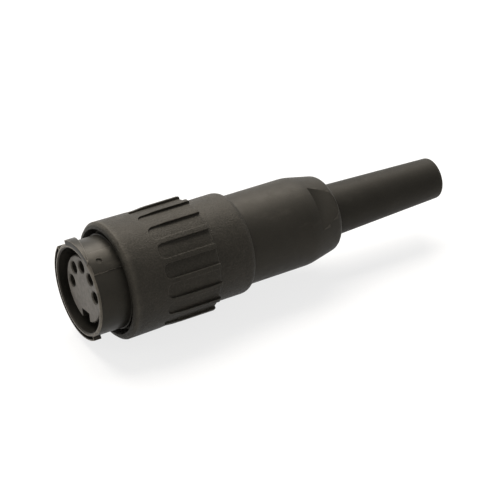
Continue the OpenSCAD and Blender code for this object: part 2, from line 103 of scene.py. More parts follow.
class Slot(Enum):
    """Material slots of the record."""

    SLEEVE = "sleeve_plastic"
    RING = "ring_plastic"
    INSERT = "insert_plastic"
    SHELL = "shell_plastic"
    BOOT = "boot_rubber"
    INNER = "inner_plastic"
    STEEL = "spring_steel"
    BRASS = "plated_brass"


class Cut(Enum):
    """Ways in which one shape works on another."""

    JOIN = "UNION"
    REMOVE = "DIFFERENCE"


def put(tree: bpy.types.NodeTree, kind: str, values: dict[str | int, object] | None = None,
        **settings: object) -> bpy.types.Node:
    """Adds a node with its settings and the values of its inputs.

    Args:
        tree: Tree that the node goes into.
        kind: Type of the node.
        values: Value of each unlinked input, by name or index.
        **settings: Properties of the node itself.

    Returns:
        The new node.
    """
    node = tree.nodes.new(kind)
    for key, setting in settings.items():
        setattr(node, key, setting)
    for key, value in (values or {}).items():
        node.inputs[key].default_value = value
    return node


def wire(tree: bpy.types.NodeTree, *pairs: Wire) -> None:
    """Links outputs to inputs.

    Args:
        tree: Tree that holds the nodes.
        *pairs: Each output with the input that it feeds.
    """
    for source, target in pairs:
        tree.links.new(source, target)


class GroupBook:
    """Shader node groups that several finishes share, each built once."""

    def __init__(self) -> None:
        """Starts with no groups built."""
        self.made: dict[str, bpy.types.ShaderNodeTree] = {}

    def _start(self, name: str, inputs: dict[str, str], outputs: dict[str, str]) -> bpy.types.ShaderNodeTree:
        """Makes an empty group with its named sockets.

        Args:
            name: Name of the group.
            inputs: Kind of socket of each named input, such as Float.
            outputs: Kind of socket of each named output.

        Returns:
            The group, with its input and output nodes in place.
        """
        tree = bpy.data.node_groups.new(name, "ShaderNodeTree")
        for in_out, sockets in (("INPUT", inputs), ("OUTPUT", outputs)):
            for label, kind in sockets.items():
                tree.interface.new_socket(name=label, in_out=in_out, socket_type=f"NodeSocket{kind}")
        tree.nodes.new("NodeGroupInput").name = "in"
        tree.nodes.new("NodeGroupOutput").name = "out"
        self.made[name] = tree
        return tree

    def grain(self) -> bpy.types.ShaderNodeTree:
        """Builds the fine grain of an eroded mould surface.

        Returns:
            A group with a height for bump and a shade for roughness.
        """
        if "mould_grain" in self.made:
            return self.made["mould_grain"]
        tree = self._start("mould_grain", {"Vector": "Vector", "Scale": "Float"},
                           {"Height": "Float", "Shade": "Float"})
        given, done = tree.nodes["in"].outputs, tree.nodes["out"].inputs
        fine = put(tree, "ShaderNodeTexNoise", {"Detail": 3.0, "Roughness": 0.62})
        coarse = put(tree, "ShaderNodeTexNoise", {"Detail": 2.0})
        slower = put(tree, "ShaderNodeMath", {1: 0.22}, operation="MULTIPLY")
        height = put(tree, "ShaderNodeMath", {1: 0.35}, operation="MULTIPLY_ADD")
        wire(
            tree,
            (given["Vector"], fine.inputs["Vector"]),
            (given["Scale"], fine.inputs["Scale"]),
            (given["Vector"], coarse.inputs["Vector"]),
            (given["Scale"], slower.inputs[0]),
            (slower.outputs[0], coarse.inputs["Scale"]),
            (coarse.outputs["Fac"], height.inputs[0]),
            (fine.outputs["Fac"], height.inputs[2]),
            (height.outputs[0], done["Height"]),
            (coarse.outputs["Fac"], done["Shade"]),
        )
        return tree

    def drift(self) -> bpy.types.ShaderNodeTree:
        """Builds the slow change of tone across a moulding.

        Returns:
            A group whose colour wanders between two tones.
        """
        if "tone_drift" in self.made:
            return self.made["tone_drift"]
        inputs = {"Vector": "Vector", "Scale": "Float", "Dark": "Color", "Light": "Color"}
        tree = self._start("tone_drift", inputs, {"Color": "Color"})
        given, done = tree.nodes["in"].outputs, tree.nodes["out"].inputs
        noise = put(tree, "ShaderNodeTexNoise", {"Detail": 2.5})
        spread = put(tree, "ShaderNodeMapRange", {"From Min": 0.32, "From Max": 0.68})
        blend = put(tree, "ShaderNodeMix", data_type="RGBA")
        wire(
            tree,
            (given["Vector"], noise.inputs["Vector"]),
            (given["Scale"], noise.inputs["Scale"]),
            (noise.outputs["Fac"], spread.inputs["Value"]),
            (spread.outputs["Result"], blend.inputs["Factor"]),
            (given["Dark"], blend.inputs["A"]),
            (given["Light"], blend.inputs["B"]),
            (blend.outputs["Result"], done["Color"]),
        )
        return tree

    def scuffs(self) -> bpy.types.ShaderNodeTree:
        """Builds short faint rub marks from handling.

        Returns:
            A group with a mask that is highest on a mark.
        """
        if "rub_marks" in self.made:
            return self.made["rub_marks"]
        inputs = {"Vector": "Vector", "Scale": "Float", "Amount": "Float"}
        tree = self._start("rub_marks", inputs, {"Mask": "Float"})
        given, done = tree.nodes["in"].outputs, tree.nodes["out"].inputs
        stretch = put(tree, "ShaderNodeMapping", {"Scale": (0.35, 1.0, 1.0), "Rotation": (0.2, 0.5, 0.3)})
        noise = put(tree, "ShaderNodeTexNoise", {"Detail": 4.0, "Roughness": 0.7})
        cut = put(tree, "ShaderNodeMapRange", {"From Min": 0.58, "From Max": 0.72})
        share = put(tree, "ShaderNodeMath", operation="MULTIPLY")
        wire(
            tree,
            (given["Vector"], stretch.inputs["Vector"]),
            (stretch.outputs["Vector"], noise.inputs["Vector"]),
            (given["Scale"], noise.inputs["Scale"]),
            (noise.outputs["Fac"], cut.inputs["Value"]),
            (cut.outputs["Result"], share.inputs[0]),
            (given["Amount"], share.inputs[1]),
            (share.outputs[0], done["Mask"]),
        )
        return tree

    def wear_and_light(self) -> bpy.types.ShaderNodeTree:
        """Builds the broken wear along edges and rubbed faces, which the insert's front face and the sleeve's
        edges also use for painted light.

        Returns:
            A group with a mask that is highest on marked faces: where an edge is rubbed bare, and where light
            is painted on.
        """
        if "worn_and_lit_edges" in self.made:
            return self.made["worn_and_lit_edges"]
        inputs = {"Vector": "Vector", "Scale": "Float", "Edge": "Float", "Amount": "Float"}
        tree = self._start("worn_and_lit_edges", inputs, {"Mask": "Float"})
        given, done = tree.nodes["in"].outputs, tree.nodes["out"].inputs
        noise = put(tree, "ShaderNodeTexNoise", {"Detail": 3.0})
        patchy = put(tree, "ShaderNodeMapRange", {"From Min": 0.30, "From Max": 0.62, "To Min": 0.45})
        edge = put(tree, "ShaderNodeMath", operation="MULTIPLY")
        share = put(tree, "ShaderNodeMath", operation="MULTIPLY", use_clamp=True)
        wire(
            tree,
            (given["Vector"], noise.inputs["Vector"]),
            (given["Scale"], noise.inputs["Scale"]),
            (noise.outputs["Fac"], patchy.inputs["Value"]),
            (patchy.outputs["Result"], edge.inputs[0]),
            (given["Edge"], edge.inputs[1]),
            (edge.outputs[0], share.inputs[0]),
            (given["Amount"], share.inputs[1]),
            (share.outputs[0], done["Mask"]),
        )
        return tree


def fresh_material(name: str) -> tuple[bpy.types.Material, bpy.types.ShaderNodeTree]:
    """Makes a new material with nodes.

    Args:
        name: Name of the material.

    Returns:
        The material and its tree.
    """
    mat = bpy.data.materials.new(name)
    mat.use_nodes = True
    return mat, mat.node_tree


def per_metre(size: float) -> float:
    """Gives the texture scale of a pattern whose features have a size in millimetres."""
    return 1.0 / (size * MM)


@dataclass(frozen=True)
class MouldedFinish:
    """A moulded plastic or rubber surface with grain, tone drift, rub marks, grain crests painted lighter as
    painted highlight, and worn edges that on some pieces also carry painted light.
    """

    name: str
    dark: Colour
    light: Colour
    rub_tone: Colour
    rub_amount: float
    # Wear tone and its amount; on the insert and the sleeve they also paint light onto the marked faces.
    wear_and_highlight_tone: Colour
    wear_and_highlight_amount: float
    rough: float
    rough_spread: float
    specular: float
    grain_size: float
    grain_depth: float
    drift_size: float
    # Painted highlight on the grain's raised crests, which stands in for the grain's fine shading, and the
    # band of grain height that gets it.
    crest_highlight: float = 0.08
    crest_highlight_range: Point = (0.60, 0.86)
    rub_share: float = 0.3
    wear_and_light_share: float = 0.2
    sheen: Colour = (1.0, 0.91, 0.76)

    def material(self, book: GroupBook) -> bpy.types.Material:
        """Builds the finish as a procedural material.

        Args:
            book: The shared shader groups.

        Returns:
            The material.
        """
        mat, tree = fresh_material(self.name)
        shader = tree.nodes["Principled BSDF"]
        shader.inputs["Specular IOR Level"].default_value = self.specular
        shader.inputs["Specular Tint"].default_value = (*self.sheen, 1.0)
        place = put(tree, "ShaderNodeTexCoord")
        edge = put(tree, "ShaderNodeAttribute", attribute_name=WEAR_AND_LIGHT)
        drift = put(tree, "ShaderNodeGroup", {
            "Scale": per_metre(self.drift_size), "Dark": (*self.dark, 1.0), "Light": (*self.light, 1.0),
        }, node_tree=book.drift())
        grain = put(tree, "ShaderNodeGroup", {"Scale": per_metre(self.grain_size)}, node_tree=book.grain())
        rub = put(tree, "ShaderNodeGroup", {
            "Scale": per_metre(self.drift_size * self.rub_share), "Amount": self.rub_amount,
        }, node_tree=book.scuffs())
        wear_and_light = put(tree, "ShaderNodeGroup", {
            "Scale": per_metre(self.drift_size * self.wear_and_light_share), "Amount": self.wear_and_highlight_amount,
        }, node_tree=book.wear_and_light())
        wire(tree, *((place.outputs["Object"], node.inputs["Vector"]) for node in (drift, grain, rub, wear_and_light)))
        marked = put(tree, "ShaderNodeMix", {"B": (*self.rub_tone, 1.0)}, data_type="RGBA")
        # Grain crests are lightened toward the rub tone: painted highlight for the grain's fine shading.
        low, high = self.crest_highlight_range
        crest = put(tree, "ShaderNodeMapRange", {"From Min": low, "From Max": high, "To Max": self.crest_highlight})
        crest_lit = put(tree, "ShaderNodeMix", {"B": (*self.rub_tone, 1.0)}, data_type="RGBA")
        # Marked faces take the wear tone: rubbed-bare wear, and painted light on the insert's front face and
        # the sleeve's edges.
        worn_and_lit = put(tree, "ShaderNodeMix", {"B": (*self.wear_and_highlight_tone, 1.0)}, data_type="RGBA")
        spread = put(tree, "ShaderNodeMapRange", {
            "To Min": self.rough - self.rough_spread, "To Max": self.rough + self.rough_spread,
        })
        bump = put(tree, "ShaderNodeBump", {"Distance": self.grain_depth * MM})
        wire(
            tree,
            (edge.outputs["Fac"], wear_and_light.inputs["Edge"]),
            (rub.outputs["Mask"], marked.inputs["Factor"]),
            (drift.outputs["Color"], marked.inputs["A"]),
            (grain.outputs["Height"], crest.inputs["Value"]),
            (crest.outputs["Result"], crest_lit.inputs["Factor"]),
            (marked.outputs["Result"], crest_lit.inputs["A"]),
            (wear_and_light.outputs["Mask"], worn_and_lit.inputs["Factor"]),
            (crest_lit.outputs["Result"], worn_and_lit.inputs["A"]),
            (worn_and_lit.outputs["Result"], shader.inputs["Base Color"]),
            (grain.outputs["Shade"], spread.inputs["Value"]),
            (spread.outputs["Result"], shader.inputs["Roughness"]),
            (grain.outputs["Height"], bump.inputs["Height"]),
            (bump.outputs["Normal"], shader.inputs["Normal"]),
        )
        return mat


@dataclass(frozen=True)
class MetalFinish:
    """A plated or bright metal surface with fine turning lines and a slight tarnish."""

    name: str
    bright: Colour
    tarnish: Colour
    rough: float
    line_size: float
    line_depth: float = 0.002
    line_stretch: tuple[float, float, float] = (1.0, 0.04, 0.04)
    tarnish_size: float = 1.5
    rough_share: float = 0.25

    def material(self, book: GroupBook) -> bpy.types.Material:
        """Builds the finish as a procedural material.

        Args:
            book: The shared shader groups.

        Returns:
            The material.
        """
        mat, tree = fresh_material(self.name)
        shader = tree.nodes["Principled BSDF"]
        shader.inputs["Metallic"].default_value = 1.0
        place = put(tree, "ShaderNodeTexCoord")
        drift = put(tree, "ShaderNodeGroup", {
            "Scale": per_metre(self.tarnish_size), "Dark": (*self.tarnish, 1.0), "Light": (*self.bright, 1.0),
        }, node_tree=book.drift())
        along = put(tree, "ShaderNodeMapping", {"Scale": self.line_stretch})
        lines = put(tree, "ShaderNodeGroup", {"Scale": per_metre(self.line_size)}, node_tree=book.grain())
        spread = put(tree, "ShaderNodeMapRange", {
            "To Min": self.rough * (1.0 - self.rough_share), "To Max": self.rough * (1.0 + self.rough_share),
        })
        bump = put(tree, "ShaderNodeBump", {"Distance": self.line_depth * MM})
        wire(
            tree,
            (place.outputs["Object"], drift.inputs["Vector"]),
            (drift.outputs["Color"], shader.inputs["Base Color"]),
            (place.outputs["Object"], along.inputs["Vector"]),
            (along.outputs["Vector"], lines.inputs["Vector"]),
            (lines.outputs["Shade"], spread.inputs["Value"]),
            (spread.outputs["Result"], shader.inputs["Roughness"]),
            (lines.outputs["Height"], bump.inputs["Height"]),
            (bump.outputs["Normal"], shader.inputs["Normal"]),
        )
        return mat


# The sleeve's wear tone is light: partly rubbed-bare edges, partly a painted highlight along the rim and lug
# edges.
SLEEVE_FINISH = MouldedFinish(
    "sleeve_black", dark=(0.0130, 0.0122, 0.0102), light=(0.0185, 0.0172, 0.0145),
    rub_tone=(0.050, 0.046, 0.038), rub_amount=0.25, wear_and_highlight_tone=(0.13, 0.118, 0.10), wear_and_highlight_amount=0.9,
    rough=0.40, rough_spread=0.10, specular=0.15, grain_size=0.22, grain_depth=0.006, drift_size=5.0)
# The ring's strong crest highlight paints the fine shading of its grain.
RING_FINISH = MouldedFinish(
    "ring_black", dark=(0.0125, 0.0117, 0.0097), light=(0.0195, 0.0180, 0.0150),
    rub_tone=(0.055, 0.050, 0.042), rub_amount=0.30, wear_and_highlight_tone=(0.060, 0.055, 0.046), wear_and_highlight_amount=0.5,
    rough=0.52, rough_spread=0.12, specular=0.15, grain_size=0.25, grain_depth=0.11, drift_size=6.0,
    crest_highlight=0.28)
# The insert's light wear tone is painted light on its front face, and the dark tone left in the holes is
# painted shade.
INSERT_FINISH = MouldedFinish(
    "insert_grey", dark=(0.014, 0.013, 0.011), light=(0.019, 0.0175, 0.015),
    rub_tone=(0.04, 0.037, 0.032), rub_amount=0.2, wear_and_highlight_tone=(0.082, 0.075, 0.066), wear_and_highlight_amount=1.0,
    rough=0.42, rough_spread=0.08, specular=0.25, grain_size=0.20, grain_depth=0.004, drift_size=3.0)
SHELL_FINISH = MouldedFinish(
    "shell_black", dark=(0.0140, 0.0131, 0.0110), light=(0.0200, 0.0185, 0.0156),
    rub_tone=(0.052, 0.047, 0.040), rub_amount=0.18, wear_and_highlight_tone=(0.060, 0.055, 0.046), wear_and_highlight_amount=0.6,
    rough=0.54, rough_spread=0.10, specular=0.15, grain_size=0.24, grain_depth=0.012, drift_size=7.0)
BOOT_FINISH = MouldedFinish(
    "boot_black", dark=(0.0130, 0.0122, 0.0103), light=(0.0175, 0.0164, 0.0139),
    rub_tone=(0.045, 0.041, 0.035), rub_amount=0.15, wear_and_highlight_tone=(0.040, 0.037, 0.031), wear_and_highlight_amount=0.4,
    rough=0.54, rough_spread=0.08, specular=0.10, grain_size=0.30, grain_depth=0.005, drift_size=8.0)
INNER_FINISH = MouldedFinish(
    "inner_grey", dark=(0.040, 0.039, 0.038), light=(0.050, 0.049, 0.047),
    rub_tone=(0.07, 0.07, 0.068), rub_amount=0.2, wear_and_highlight_tone=(0.08, 0.078, 0.075), wear_and_highlight_amount=0.4,
    rough=0.45, rough_spread=0.08, specular=0.20, grain_size=0.22, grain_depth=0.005, drift_size=4.0)
STEEL_FINISH = MetalFinish("bright_steel", bright=(0.60, 0.60, 0.61), tarnish=(0.50, 0.50, 0.52),
                           rough=0.28, line_size=0.06)
BRASS_FINISH = MetalFinish("silvered_brass", bright=(0.78, 0.75, 0.68), tarnish=(0.66, 0.61, 0.52),
                           rough=0.24, line_size=0.05)


def on_circle(bm: bmesh.types.BMesh, r: float, angle: float, z: float) -> bmesh.types.BMVert:
    """Adds a vertex from its radius, its angle in radians and its place along the axis."""
    return bm.verts.new((z * MM, r * math.cos(angle) * MM, r * math.sin(angle) * MM))


def to_mesh(bm: bmesh.types.BMesh, name: str) -> bpy.types.Mesh:
    """Turns a bmesh into a mesh.

    Args:
        bm: The shape, which is freed.
        name: Name of the mesh.

    Returns:
        The mesh.
    """
    mesh = bpy.data.meshes.new(name)
    bm.to_mesh(mesh)
    bm.free()
    return mesh


def linked(name: str, data: bpy.types.ID) -> bpy.types.Object:
    """Makes an object at the origin and links it to the scene.

    Args:
        name: Name of the object.
        data: Its mesh, light or camera.

    Returns:
        The object.
    """
    obj = bpy.data.objects.new(name, data)
    bpy.context.scene.collection.objects.link(obj)
    return obj


def mark_edges(bm: bmesh.types.BMesh, reach: float = math.inf) -> None:
    """Marks the narrow faces along outward edges, which rub bare first; on the sleeve the mark also paints
    the thin light line of an edge highlight.

    Args:
        bm: The finished shape.
        reach: Place along the axis behind which the shape is sheltered.
    """
    bm.normal_update()
    wear_and_light = bm.faces.layers.float.new(WEAR_AND_LIGHT)
    for face in bm.faces:
        longest = max(edge.calc_length() for edge in face.edges)
        narrow = face.calc_area() < longest * NARROW_FACE_WIDTH * MM
        turns = max(edge.calc_face_angle_signed(0.0) for edge in face.edges)
        reached = face.calc_center_median().x < reach * MM
        face[wear_and_light] = 1.0 if narrow and reached and turns > EDGE_TURN_RAD else 0.0


def finished(bm: bmesh.types.BMesh, name: str, sharp_deg: float) -> bpy.types.Object:
    """Makes a piece of a finished bmesh, shaded smooth between its edges.

    Args:
        bm: The finished shape, which is freed.
        name: Name of the new piece.
        sharp_deg: Angle above which an edge stays sharp.

    Returns:
        The new piece, at the origin.
    """
    mesh = to_mesh(bm, name)
    if "custom_normal" in mesh.attributes:
        mesh.attributes.remove(mesh.attributes["custom_normal"])
    mesh.materials.clear()
    mesh.shade_smooth()
    mesh.set_sharp_from_angle(angle=math.radians(sharp_deg))
    return linked(name, mesh)


def welded(node: str) -> bmesh.types.BMesh:
    """Copies a CAD node's mesh and merges its loose triangles.

    Args:
        node: Name of the CAD node.

    Returns:
        The merged copy.
    """
    bm = bmesh.new()
    bm.from_mesh(frame["nodes"][node].data)
    bmesh.ops.remove_doubles(bm, verts=bm.verts, dist=MERGE_M)
    return bm


def dress(obj: bpy.types.Object, node: str, body: Body, mat: bpy.types.Material) -> None:
    """Gives a finished piece its material and its body, and hides the CAD node that it stands for.

    Args:
        obj: The finished piece.
        node: CAD node that the piece stands for.
        body: Body that the piece moves with.
        mat: Material of the piece.
    """
    obj.data.materials.clear()
    obj.data.materials.append(mat)
    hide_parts(node)
    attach(obj, body.value)
    LOG.info("%s stands for %s, %d faces", obj.name, node, len(obj.data.polygons))


class RoundPattern:
    """Geometry Nodes tree that repeats one sector round the X axis and welds the copies."""

    def __init__(self, name: str) -> None:
        """Builds the tree.

        Args:
            name: Name of the tree.
        """
        self.tree = bpy.data.node_groups.new(name, "GeometryNodeTree")
        sockets = self.tree.interface
        self.ids = {
            label: sockets.new_socket(name=label, in_out="INPUT", socket_type=f"NodeSocket{kind}").identifier
            for label, kind in (("Sector", "Geometry"), ("Count", "Int"), ("First Angle", "Float"),
                                ("Weld Distance", "Float"), ("Finish", "Material"))
        }
        sockets.new_socket(name="Ring", in_out="OUTPUT", socket_type="NodeSocketGeometry")
        self._join_up()

    def _join_up(self) -> None:
        """Adds the nodes: points, turned instances, weld and material."""
        tree = self.tree
        given, done = put(tree, "NodeGroupInput").outputs, put(tree, "NodeGroupOutput").inputs
        points = put(tree, "GeometryNodeMeshLine", {"Offset": (0.0, 0.0, 0.0)})
        pitch = put(tree, "ShaderNodeMath", {0: math.tau}, operation="DIVIDE")
        index = put(tree, "GeometryNodeInputIndex")
        turn = put(tree, "ShaderNodeMath", operation="MULTIPLY_ADD")
        spin = put(tree, "ShaderNodeCombineXYZ")
        euler = put(tree, "FunctionNodeEulerToRotation")
        place = put(tree, "GeometryNodeInstanceOnPoints")
        real = put(tree, "GeometryNodeRealizeInstances")
        weld = put(tree, "GeometryNodeMergeByDistance")
        coat = put(tree, "GeometryNodeSetMaterial")
        wire(
            tree,
            (given["Count"], points.inputs["Count"]),
            (given["Count"], pitch.inputs[1]),
            (index.outputs[0], turn.inputs[0]),
            (pitch.outputs[0], turn.inputs[1]),
            (given["First Angle"], turn.inputs[2]),
            (turn.outputs[0], spin.inputs["X"]),
            (spin.outputs[0], euler.inputs[0]),
            (points.outputs[0], place.inputs["Points"]),
            (given["Sector"], place.inputs["Instance"]),
            (euler.outputs[0], place.inputs["Rotation"]),
            (place.outputs[0], real.inputs[0]),
            (real.outputs[0], weld.inputs["Geometry"]),
            (given["Weld Distance"], weld.inputs["Distance"]),
            (weld.outputs[0], coat.inputs["Geometry"]),
            (given["Finish"], coat.inputs["Material"]),
            (coat.outputs[0], done[0]),
        )

    def repeat(self, sector: bpy.types.Mesh, count: int, first: float,
               finish: bpy.types.Material) -> bpy.types.Mesh:
        """Repeats a sector and gives the result as a plain mesh.

        Args:
            sector: Mesh of one sector.
            count: Number of sectors round the axis.
            first: Angle of the first sector in radians.
            finish: Material of the result.

        Returns:
            The welded ring of sectors.
        """
        carrier = linked("sector_carrier", sector)
        step = carrier.modifiers.new("repeat", "NODES")
        step.node_group = self.tree
        step[self.ids["Count"]] = count
        step[self.ids["First Angle"]] = first
        step[self.ids["Weld Distance"]] = MERGE_M
        step[self.ids["Finish"]] = finish
        graph = bpy.context.evaluated_depsgraph_get()
        whole = bpy.data.meshes.new_from_object(carrier.evaluated_get(graph), depsgraph=graph)
        carrier.modifiers.remove(step)
        bpy.data.objects.remove(carrier)
        return whole


def rounded(before: Point, corner: Point, after: Point, radius: float, steps: int) -> list[Point]:
    """Rounds one corner of a profile.

    Args:
        before: Point before the corner.
        corner: The corner.
        after: Point after the corner.
        radius: Radius of the rounding.
        steps: Number of facets.

    Returns:
        The points that take the corner's place.
    """
    c = Vector(corner)
    a, b = (Vector(before) - c).normalized(), (Vector(after) - c).normalized()
    half = a.angle(b) / 2
    middle = c + (a + b).normalized() * (radius / math.sin(half))
    start, end = (c + d * (radius / math.tan(half)) - middle for d in (a, b))
    return [tuple(middle + start.slerp(end, i / steps) * radius) for i in range(steps + 1)]


@dataclass(frozen=True)
class TurnedShape:
    """A closed profile turned round the axis: a narrow strip of it, repeated."""

    corners: tuple[Corner, ...]
    facets: int = 120
    round_steps: int = 6
    longest: float = 2.5

    def build(self, pattern: RoundPattern, finish: bpy.types.Material) -> bmesh.types.BMesh:
        """Turns the profile.

        Args:
            pattern: Tree that repeats the strip.
            finish: Material of the result.

        Returns:
            The closed shape.
        """
        strip = bmesh.new()
        half = math.pi / self.facets
        points = self._points()
        one, two = ([on_circle(strip, r, side, z) for r, z in points] for side in (-half, half))
        for i in range(len(one)):
            strip.faces.new((one[i - 1], one[i], two[i], two[i - 1]))
        whole = bmesh.new()
        whole.from_mesh(pattern.repeat(to_mesh(strip, "profile_strip"), self.facets, 0.0, finish))
        bmesh.ops.recalc_face_normals(whole, faces=whole.faces)
        return whole

    def _soft(self) -> list[Point]:
        """Rounds the corners of the profile.

        Returns:
            Radius and place along of each point.
        """
        points = []
        for i, (r, z, soft) in enumerate(self.corners):
            before, after = self.corners[i - 1][:2], self.corners[(i + 1) % len(self.corners)][:2]
            points += rounded(before, (r, z), after, soft, self.round_steps) if soft else [(r, z)]
        return points

    def _points(self) -> list[Point]:
        """Divides the long stretches of the rounded profile.

        Returns:
            Radius and place along of each point.
        """
        soft = self._soft()
        points = []
        for here, ahead in zip(soft, soft[1:] + soft[:1]):
            points.append(here)
            parts = int(math.dist(here, ahead) / self.longest)
            for k in range(1, parts + 1):
                share = k / (parts + 1)
                points.append(tuple(a + (b - a) * share for a, b in zip(here, ahead)))
        return points


@dataclass(frozen=True)
class ArcBlock:
    """A block bent round the axis, whose rear face may fall away along its arc."""

    inner_r: float
    outer_r: float
    front: float
    rear: float
    rear_end: float
    start: float
    arc: float
    soft: float = 0.0
    soft_steps: int = 3
    crease: float = 35.0
    step: float = 3.0

    def build(self) -> bmesh.types.BMesh:
        """Builds the block with its edges rounded.

        Returns:
            The closed block.
        """
        bm = bmesh.new()
        count = max(2, round(self.arc / self.step))
        rows = []
        for i in range(count + 1):
            angle = math.radians(self.start + self.arc * i / count)
            rear = self.rear + (self.rear_end - self.rear) * i / count
            section = ((self.inner_r, self.front), (self.outer_r, self.front),
                       (self.outer_r, rear), (self.inner_r, rear))
            rows.append([on_circle(bm, r, angle, z) for r, z in section])
        for one, two in zip(rows, rows[1:]):
            for k in range(4):
                bm.faces.new((one[k], one[k - 3], two[k - 3], two[k]))
        bm.faces.new(rows[0])
        bm.faces.new(rows[-1])
        bmesh.ops.recalc_face_normals(bm, faces=bm.faces)
        if self.soft:
            edges = [e for e in bm.edges if e.calc_face_angle(0.0) > math.radians(self.crease)]
            bmesh.ops.bevel(bm, geom=edges, offset=self.soft * MM, offset_type="OFFSET",
                            segments=self.soft_steps, profile=0.5, affect="EDGES", clamp_overlap=True)
        return bm


def carve(body: bmesh.types.BMesh, tool: bmesh.types.BMesh, action: Cut) -> bmesh.types.BMesh:
    """Joins a shape to a body or cuts it out.

    Args:
        body: The body, which is freed.
        tool: The shape, which is freed.
        action: What the shape does to the body.

    Returns:
        The new body.
    """
    pair = [linked(name, to_mesh(bm, name)) for bm, name in ((body, "carve_body"), (tool, "carve_tool"))]
    step = pair[0].modifiers.new("carve", "BOOLEAN")
    step.operation = action.value
    step.solver = "EXACT"
    step.object = pair[1]
    graph = bpy.context.evaluated_depsgraph_get()
    result = bmesh.new()
    result.from_mesh(pair[0].evaluated_get(graph).to_mesh())
    for obj in pair:
        mesh = obj.data
        bpy.data.objects.remove(obj)
        bpy.data.meshes.remove(mesh)
    bmesh.ops.remove_doubles(result, verts=result.verts, dist=MERGE_M / 2)
    return result


def placed_box(size: Corner, middle: Corner, angle: float) -> bmesh.types.BMesh:
    """Builds a box that is turned about the axis.

    Args:
        size: Length along the axis, across the radius and round the axis.
        middle: Its middle before it is turned, with the radius along Y.
        angle: Turn about the axis.

    Returns:
        The box.
    """
    bm = bmesh.new()
    bmesh.ops.create_cube(bm, size=1.0)
    shape = (Matrix.Rotation(math.radians(angle), 4, "X") @ Matrix.Translation(Vector(middle) * MM)
             @ Matrix.Diagonal((*(s * MM for s in size), 1.0)))
    bmesh.ops.transform(bm, matrix=shape, verts=bm.verts)
    return bm


@dataclass
class BayonetSleeve:
    """The thin front sleeve with its lugs, its index panel, its dot and its drive keys."""

    book: GroupBook
    pattern: RoundPattern
    bore_r: float = 6.75
    outer_r: float = 7.4
    rear: float = 12.25
    rim_soft: float = 0.06
    rim_round: float = 0.3
    rim_chamfer: float = 0.2
    rim_steps: int = 3
    seat_r: float = 7.6
    seat_span: Point = (5.15, 5.8)
    root_r: float = 7.1
    long_lug: ArcBlock = ArcBlock(inner_r=7.1, outer_r=8.0, front=0.1, rear=1.4, rear_end=1.4,
                                  start=232.0, arc=159.0, soft=0.07)
    ramp_lug: ArcBlock = ArcBlock(inner_r=7.1, outer_r=8.0, front=0.0, rear=1.8, rear_end=0.25,
                                  start=57.7, arc=57.0, soft=0.07)
    panel: ArcBlock = ArcBlock(inner_r=7.1, outer_r=7.52, front=0.36, rear=5.5, rear_end=5.5,
                               start=100.5, arc=29.0, soft=0.03)
    groove: ArcBlock = ArcBlock(inner_r=7.22, outer_r=7.78, front=-0.5, rear=1.0, rear_end=1.0,
                                start=232.8, arc=157.4)
    dot_angle: float = 115.0
    dot_along: float = 2.05
    dot_wide: float = 1.0
    dot_deep: float = 0.2
    dot_facets: int = 32
    key_r: float = 7.8
    key_wide: float = 2.0
    key_long: float = 4.0
    key_inset: float = 0.1
    key_count: int = 4
    sharp_deg: float = 38.0

    def build(self) -> None:
        """Builds and dresses the sleeve."""
        finish = SLEEVE_FINISH.material(self.book)
        body = self._tube().build(self.pattern, finish)
        for block in (self.long_lug, self.ramp_lug, self.panel):
            body = carve(body, block.build(), Cut.JOIN)
        body = carve(body, self.groove.build(), Cut.REMOVE)
        body = carve(body, self._dot(), Cut.REMOVE)
        body = self._keys(body)
        # The rim and lug edges take the light wear tone: partly wear, partly a painted edge highlight.
        mark_edges(body, self.seat_span[0] - self.rim_round)
        sleeve = finished(body, "sleeve_moulding", self.sharp_deg)
        dress(sleeve, "bayonet_sleeve", Body.TURNING, finish)

    def _tube(self) -> TurnedShape:
        """Gives the plain sleeve with its seat collar.

        Returns:
            The shape to turn.
        """
        soft, (seat_front, seat_rear) = self.rim_soft, self.seat_span
        return TurnedShape((
            (self.bore_r + self.rim_chamfer, 0.0, soft),
            (self.outer_r, 0.0, self.rim_round),
            (self.outer_r, seat_front, 0.0),
            (self.seat_r, seat_front, soft),
            (self.seat_r, seat_rear, soft),
            (self.outer_r, seat_rear, 0.0),
            (self.outer_r, self.rear, soft),
            (self.bore_r, self.rear, soft),
            (self.bore_r, self.rim_chamfer, 0.0),
        ), round_steps=self.rim_steps)

    def _dot(self) -> bmesh.types.BMesh:
        """Builds the round cutter of the index dot.

        Returns:
            The cutter, half of it in the panel.
        """
        bm = bmesh.new()
        radius = self.dot_wide / 2 * MM
        bmesh.ops.create_cone(bm, cap_ends=True, segments=self.dot_facets, radius1=radius, radius2=radius,
                              depth=2.0 * self.dot_deep * MM)
        shape = (Matrix.Rotation(math.radians(self.dot_angle), 4, "X")
                 @ Matrix.Translation(Vector((self.dot_along, self.panel.outer_r, 0.0)) * MM)
                 @ Matrix.Rotation(math.pi / 2, 4, "X"))
        bmesh.ops.transform(bm, matrix=shape, verts=bm.verts)
        return bm

    def _keys(self, body: bmesh.types.BMesh) -> bmesh.types.BMesh:
        """Adds the drive keys that sit in the ring's slots.

        Args:
            body: The sleeve, which is freed.

        Returns:
            The sleeve with its keys.
        """
        size = (self.key_long, self.key_r - self.root_r, self.key_wide)
        middle = (self.rear - self.key_inset - self.key_long / 2, (self.key_r + self.root_r) / 2, 0.0)
        for i in range(self.key_count):
            body = carve(body, placed_box(size, middle, 360.0 / self.key_count * i), Cut.JOIN)
        return body


